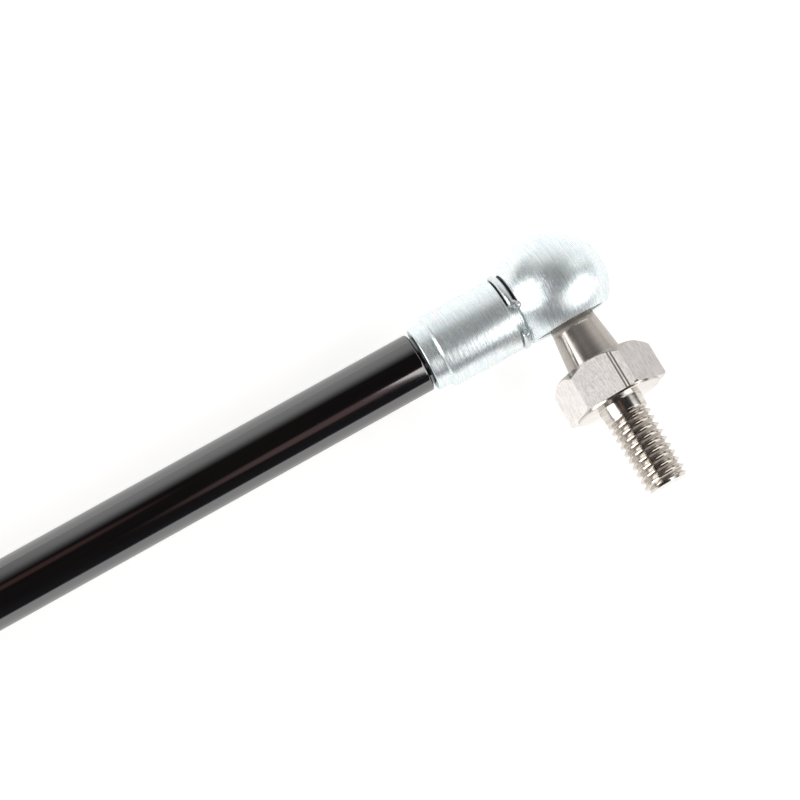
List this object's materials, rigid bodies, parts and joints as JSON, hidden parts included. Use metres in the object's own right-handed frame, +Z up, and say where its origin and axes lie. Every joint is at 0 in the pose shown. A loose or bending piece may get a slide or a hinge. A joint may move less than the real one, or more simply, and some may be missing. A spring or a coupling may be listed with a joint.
{
  "type": "gas strut",
  "caption": "Gas strut stay with a black rod, a painted pressure tube and a plated ball socket with a threaded ball stud at each end.",
  "frame": {"origin": "on the tube-end stud's axis, in the plane of the face under its hexagon that seats on the bracket", "axes": "+X along the strut from the tube end to the rod end, -Y along the tube-end stud towards its thread, +Z up as the strut lies on a flat surface"},
  "size_m": [0.2999, 0.0383, 0.0183],
  "materials": {
    "tube_paint": "semi-gloss black stoved paint",
    "rod_nitride": "black salt-bath nitrided and polished, slightly brown",
    "zinc_plate": "bright blue-white zinc plate over fine turning marks",
    "stainless": "turned stainless steel, warm grey",
    "spring_steel": "bright drawn spring wire",
    "plain_steel": "turned mild steel",
    "guide_brass": "turned brass",
    "piston_alloy": "turned aluminium",
    "black_rubber": "moulded nitrile rubber",
    "wiper_plastic": "moulded polyurethane",
    "ring_plastic": "filled PTFE"
  },
  "bodies": {
    "cylinder": {"pressure_tube": "tube_paint", "end_plug": "plain_steel", "end_plug_seal": "black_rubber", "rod_guide": "guide_brass", "guide_seal": "black_rubber", "rod_wiper": "wiper_plastic", "rod_seal": "black_rubber", "seal_washer": "plain_steel", "tube_end_socket": "zinc_plate", "tube_end_clip": "spring_steel"},
    "piston_ring": {"piston_ring": "ring_plastic"},
    "rod": {"piston_rod": "rod_nitride", "piston_body": "piston_alloy", "orifice_disc": "spring_steel", "piston_washer": "plain_steel", "rod_end_socket": "zinc_plate", "rod_end_clip": "spring_steel"},
    "rod_end_snap_ring": {"rod_end_snap_ring": "spring_steel"},
    "rod_end_ball_stud": {"rod_end_ball_stud": "stainless"},
    "tube_end_snap_ring": {"tube_end_snap_ring": "spring_steel"},
    "tube_end_ball_stud": {"tube_end_ball_stud": "stainless"}
  },
  "joints": [
    {"name": "rod_slide", "type": "slide", "parent": "cylinder", "child": "piston_ring", "axis": [1, 0, 0], "range_m": [-0.1, 0], "stiffness_N_per_m": 250, "springref_m": 0.4},
    {"name": "rod_spin", "type": "hinge", "parent": "piston_ring", "child": "rod", "pos_m": [0.14, 0.0174, 0], "axis": [1, 0, 0], "continuous": true},
    {"name": "rod_end_swivel", "type": "hinge", "parent": "rod", "child": "rod_end_snap_ring", "pos_m": [0.285, 0.0174, 0], "axis": [0, -1, 0], "continuous": true},
    {"name": "rod_end_tilt", "type": "hinge", "parent": "rod_end_snap_ring", "child": "rod_end_ball_stud", "pos_m": [0.285, 0.0174, 0], "axis": [-0.9936, 0, -0.1132], "range_deg": [-27.5, 8.5]},
    {"name": "tube_end_swivel", "type": "hinge", "parent": "cylinder", "child": "tube_end_snap_ring", "pos_m": [0, 0.0174, 0], "axis": [0, -1, 0], "continuous": true},
    {"name": "tube_end_tilt", "type": "hinge", "parent": "tube_end_snap_ring", "child": "tube_end_ball_stud", "pos_m": [0, 0.0174, 0], "axis": [0, 0, 1], "range_deg": [-18, 18]}
  ]
}
